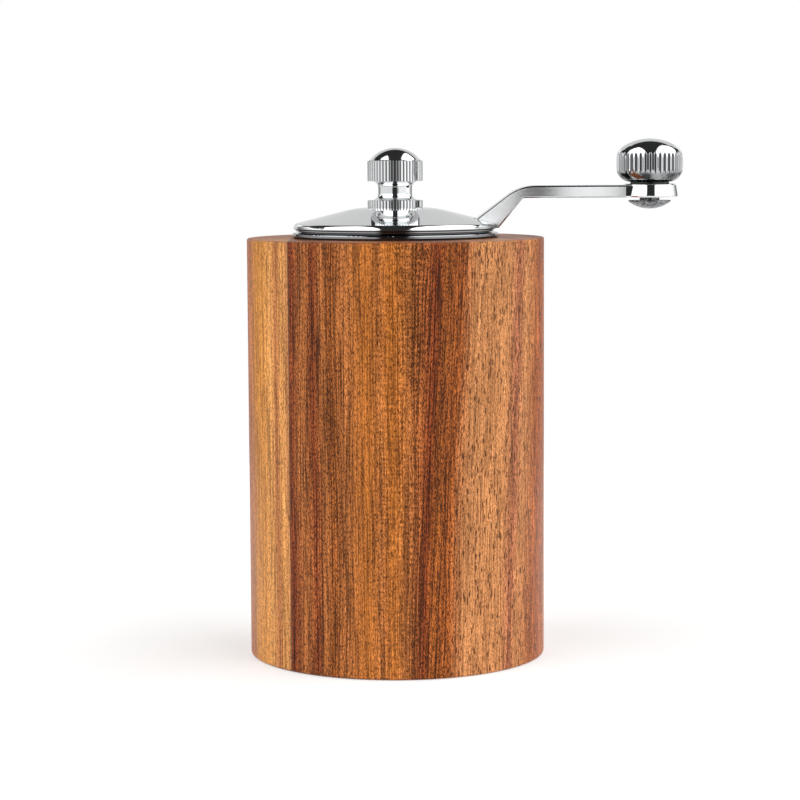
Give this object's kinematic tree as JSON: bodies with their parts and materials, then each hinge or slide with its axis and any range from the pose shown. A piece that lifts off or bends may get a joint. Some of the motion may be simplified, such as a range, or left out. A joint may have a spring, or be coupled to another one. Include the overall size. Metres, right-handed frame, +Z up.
{
  "type": "hand-crank burr grinder",
  "caption": "Round wooden hand-crank grinder with a conical ceramic burr in its foot, a chromed domed cap, an adjusting knob and a cranked arm with a fluted grip.",
  "frame": {"origin": "on the spindle's axis, in the plane of the wooden foot that the grinder stands on", "axes": "+Z up along the spindle, +X from the spindle towards the crank's grip, +Y to the back"},
  "size_m": [0.088, 0.06, 0.1041],
  "materials": {
    "acacia": "satin",
    "black_plastic": "satin",
    "brass_bush": "satin",
    "white_ceramic": "matte",
    "zinc_steel": "satin",
    "black_rubber": "matte",
    "chrome_plate": "polished",
    "bright_steel": "gloss",
    "spring_steel": "satin",
    "black_nylon": "satin"
  },
  "bodies": {
    "base": {"wood_body": "acacia", "burr_housing": "black_plastic", "bridge_bush": "brass_bush", "ring_burr": "white_ceramic", "burr_retainer": "zinc_steel", "retainer_screws": "zinc_steel", "plate_gasket": "black_rubber", "top_plate": "chrome_plate", "plate_screws": "zinc_steel"},
    "drive": {"drive_bush": "chrome_plate", "drive_clip": "spring_steel", "spring_washer": "zinc_steel"},
    "spindle": {"spindle": "bright_steel", "cone_burr": "white_ceramic", "rotor_washer": "zinc_steel", "rotor_clip": "spring_steel", "burr_spring": "spring_steel"},
    "crank": {"crank_arm": "chrome_plate", "dome_cap": "chrome_plate"},
    "adjuster": {"adjusting_knob": "chrome_plate"},
    "grip": {"crank_grip": "chrome_plate", "grip_stud": "chrome_plate", "grip_washer": "black_nylon"}
  },
  "joints": [
    {"name": "crank_turn", "type": "hinge", "parent": "base", "child": "drive", "pos_m": [0, 0, 0.0868], "axis": [0, 0, 1], "continuous": true},
    {"name": "burr_adjust", "type": "slide", "parent": "drive", "child": "spindle", "axis": [0, 0, 1], "range_m": [-0.0016, 0.0008], "deforming": ["burr_spring"]},
    {"name": "crank_lift", "type": "slide", "parent": "drive", "child": "crank", "axis": [0, 0, 1], "range_m": [0, 0.03]},
    {"name": "adjuster_turn", "type": "hinge", "parent": "crank", "child": "adjuster", "pos_m": [0, 0, 0.0905], "axis": [0, 0, 1], "range_deg": [-360, 720]},
    {"name": "grip_spin", "type": "hinge", "parent": "crank", "child": "grip", "pos_m": [0.0513, 0, 0.095], "axis": [0, 0, 1], "continuous": true}
  ],
  "couplings": [
    {"joint": "adjuster_turn", "follows": "burr_adjust", "rad_per_m": -7854}
  ]
}
